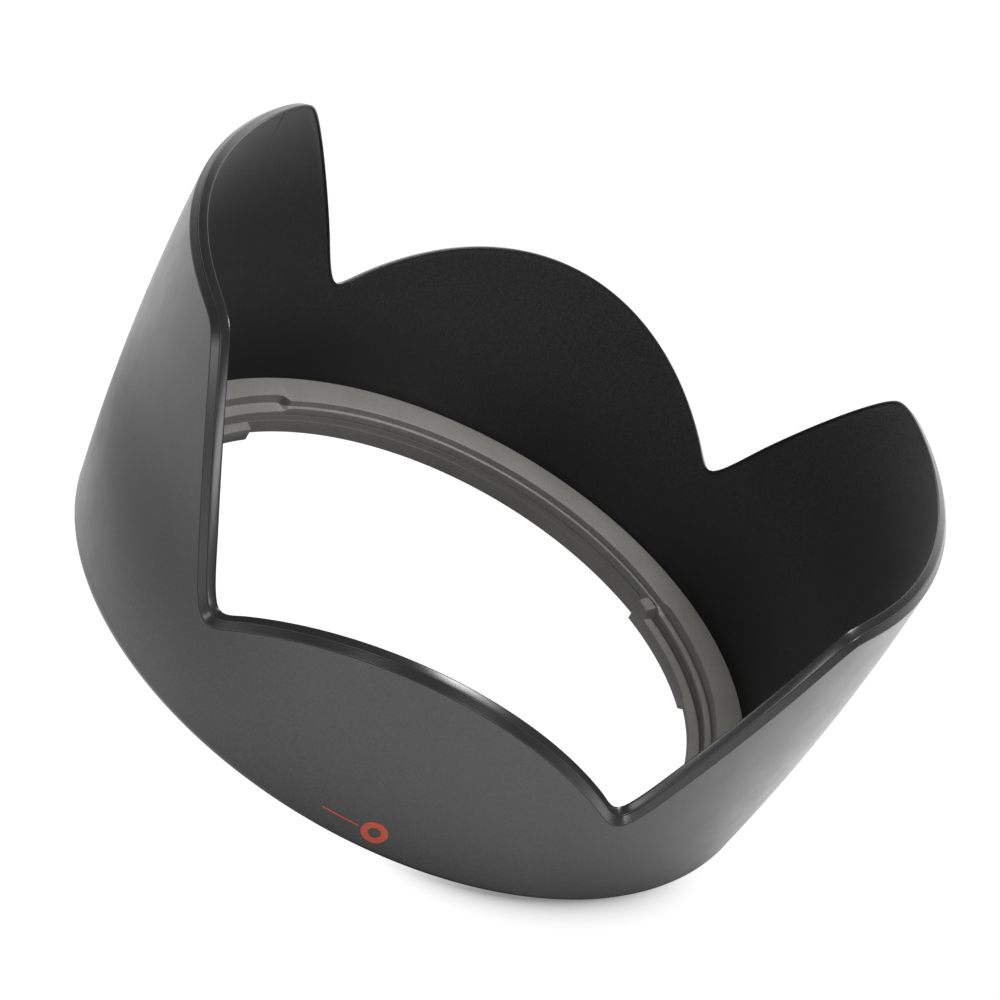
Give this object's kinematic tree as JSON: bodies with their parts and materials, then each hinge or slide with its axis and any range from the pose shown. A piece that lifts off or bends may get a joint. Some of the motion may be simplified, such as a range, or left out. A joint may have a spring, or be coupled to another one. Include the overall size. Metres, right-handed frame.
{
  "type": "petal lens hood",
  "caption": "Petal-shaped lens hood: a bell-shaped shell with long and short petals, flocked inside, with a lugged bayonet ring at its rear end.",
  "frame": {"origin": "centre of the bayonet ring's rear face, on the optical axis", "axes": "+Z along the optical axis towards the subject, X through the long petals, Y through the short petals, index mark towards -Y"},
  "size_m": [0.102, 0.1002, 0.0486],
  "materials": {
    "shell_plastic": "satin black moulded plastic with a fine spark-eroded texture, glossier on the rim",
    "flock": "deep matte black flock, dense short fibres",
    "ring_plastic": "matt warm dark grey glass-filled plastic",
    "index_paint": "printed red-orange index paint"
  },
  "bodies": {
    "root": {"petal_shell": "shell_plastic", "flock_lining": "flock", "bayonet_ring": "ring_plastic", "index_ring": "index_paint", "index_line": "index_paint"}
  },
  "joints": []
}
